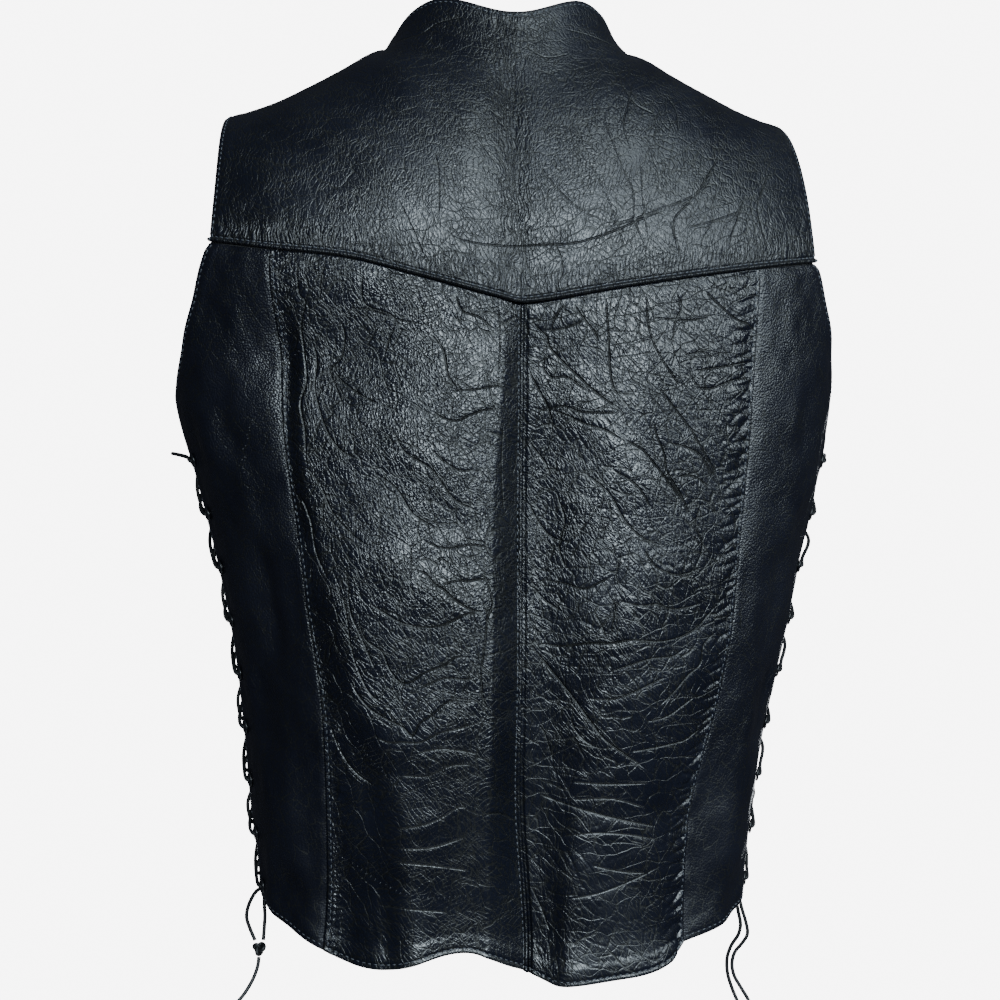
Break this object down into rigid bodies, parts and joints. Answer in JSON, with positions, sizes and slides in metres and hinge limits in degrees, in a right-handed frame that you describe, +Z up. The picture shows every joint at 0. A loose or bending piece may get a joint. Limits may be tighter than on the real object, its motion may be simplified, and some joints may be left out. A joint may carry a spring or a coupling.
{
  "type": "leather vest",
  "caption": "Black leather vest with a one-piece yoke, seamed back, V-neck snap front and laced sides, held open in its worn hollow form.",
  "frame": {"origin": "on the line of the shoulders, midway between the two shoulder points beside the neck, where the wearer's shoulders carry the vest", "axes": "+Z up, the back faces -Y and the closed front faces +Y, the wearer's left is -X"},
  "size_m": [0.4134, 0.2478, 0.6658],
  "materials": {
    "leather": "satin, fine grained and creased, black with a blue cast",
    "lace": "matt black rolled thong",
    "eyelet_metal": "black enamelled brass, worn at the rim",
    "snap_metal": "black enamelled brass, domed"
  },
  "bodies": {
    "root": {"yoke": "leather", "back_panel_left": "leather", "back_panel_right": "leather", "back_side_left": "leather", "back_side_right": "leather", "front_left": "leather", "front_right": "leather", "snap_1": "snap_metal", "snap_2": "snap_metal", "snap_3": "snap_metal", "snap_4": "snap_metal", "eyelet_back_left_1": "eyelet_metal", "eyelet_back_left_2": "eyelet_metal", "eyelet_back_left_3": "eyelet_metal", "eyelet_back_left_4": "eyelet_metal", "eyelet_back_left_5": "eyelet_metal", "eyelet_back_left_6": "eyelet_metal", "eyelet_back_left_7": "eyelet_metal", "eyelet_back_left_8": "eyelet_metal", "eyelet_back_left_9": "eyelet_metal", "eyelet_front_left_1": "eyelet_metal", "eyelet_front_left_2": "eyelet_metal", "eyelet_front_left_3": "eyelet_metal", "eyelet_front_left_4": "eyelet_metal", "eyelet_front_left_5": "eyelet_metal", "eyelet_front_left_6": "eyelet_metal", "eyelet_front_left_7": "eyelet_metal", "eyelet_front_left_8": "eyelet_metal", "eyelet_front_left_9": "eyelet_metal", "eyelet_back_right_1": "eyelet_metal", "eyelet_back_right_2": "eyelet_metal", "eyelet_back_right_3": "eyelet_metal", "eyelet_back_right_4": "eyelet_metal", "eyelet_back_right_5": "eyelet_metal", "eyelet_back_right_6": "eyelet_metal", "eyelet_back_right_7": "eyelet_metal", "eyelet_back_right_8": "eyelet_metal", "eyelet_back_right_9": "eyelet_metal", "eyelet_front_right_1": "eyelet_metal", "eyelet_front_right_2": "eyelet_metal", "eyelet_front_right_3": "eyelet_metal", "eyelet_front_right_4": "eyelet_metal", "eyelet_front_right_5": "eyelet_metal", "eyelet_front_right_6": "eyelet_metal", "eyelet_front_right_7": "eyelet_metal", "eyelet_front_right_8": "eyelet_metal", "eyelet_front_right_9": "eyelet_metal", "lace_left": "lace", "lace_right": "lace", "lace_end_left_outer": "lace", "lace_end_left_inner": "lace", "lace_knot_left": "lace", "lace_tail_left": "lace", "lace_end_right_outer": "lace", "lace_end_right_inner": "lace"}
  },
  "joints": []
}
